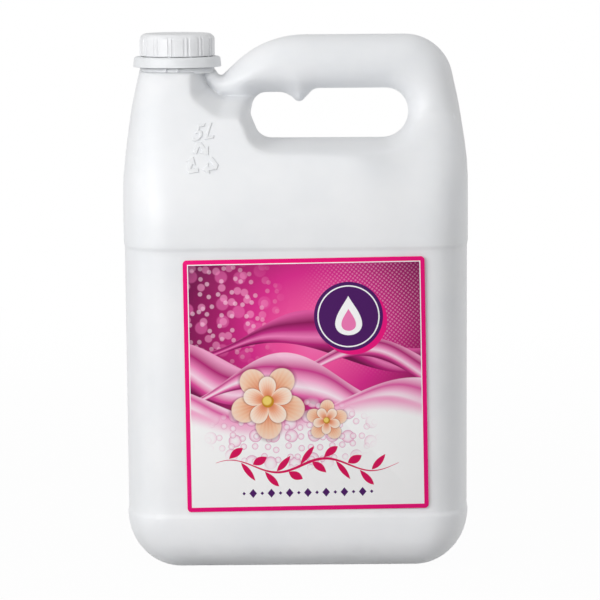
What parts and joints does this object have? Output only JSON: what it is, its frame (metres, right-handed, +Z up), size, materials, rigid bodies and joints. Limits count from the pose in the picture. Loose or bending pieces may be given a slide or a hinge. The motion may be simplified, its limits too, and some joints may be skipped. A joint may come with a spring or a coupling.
{
  "type": "hand soap refill pack",
  "caption": "White blow moulded can of liquid hand soap with a through handle, ribbed screw cap, tamper ring and pink front label.",
  "frame": {"origin": "centre of the footprint, on the surface that the can stands on", "axes": "+Z up, -Y towards the labelled front, +X from the neck's side to the handle's side"},
  "size_m": [0.1912, 0.132, 0.2923],
  "materials": {
    "bottle": "white blown polyethylene, satin",
    "liquid_soap": "pearly pink liquid",
    "cap": "white moulded polyethylene, satin",
    "tamper_ring": "white moulded polyethylene, satin",
    "cap_liner": "foamed polyethylene",
    "label": "printed film, semi-gloss"
  },
  "bodies": {
    "bottle": {"bottle": "bottle", "tamper_ring": "tamper_ring", "label": "label", "liquid_soap": "liquid_soap"},
    "wad": {"cap_liner": "cap_liner"},
    "cap": {"cap": "cap"}
  },
  "joints": [
    {"name": "cap_lift", "type": "slide", "parent": "bottle", "child": "wad", "axis": [0, 0, 1], "range_m": [0, 0.008]},
    {"name": "cap_turn", "type": "hinge", "parent": "wad", "child": "cap", "pos_m": [-0.0652, 0, 0.2788], "axis": [0, 0, 1], "range_deg": [0, 720]}
  ],
  "couplings": [
    {"joint": "cap_lift", "follows": "cap_turn", "m_per_rad": 0.0006366}
  ]
}
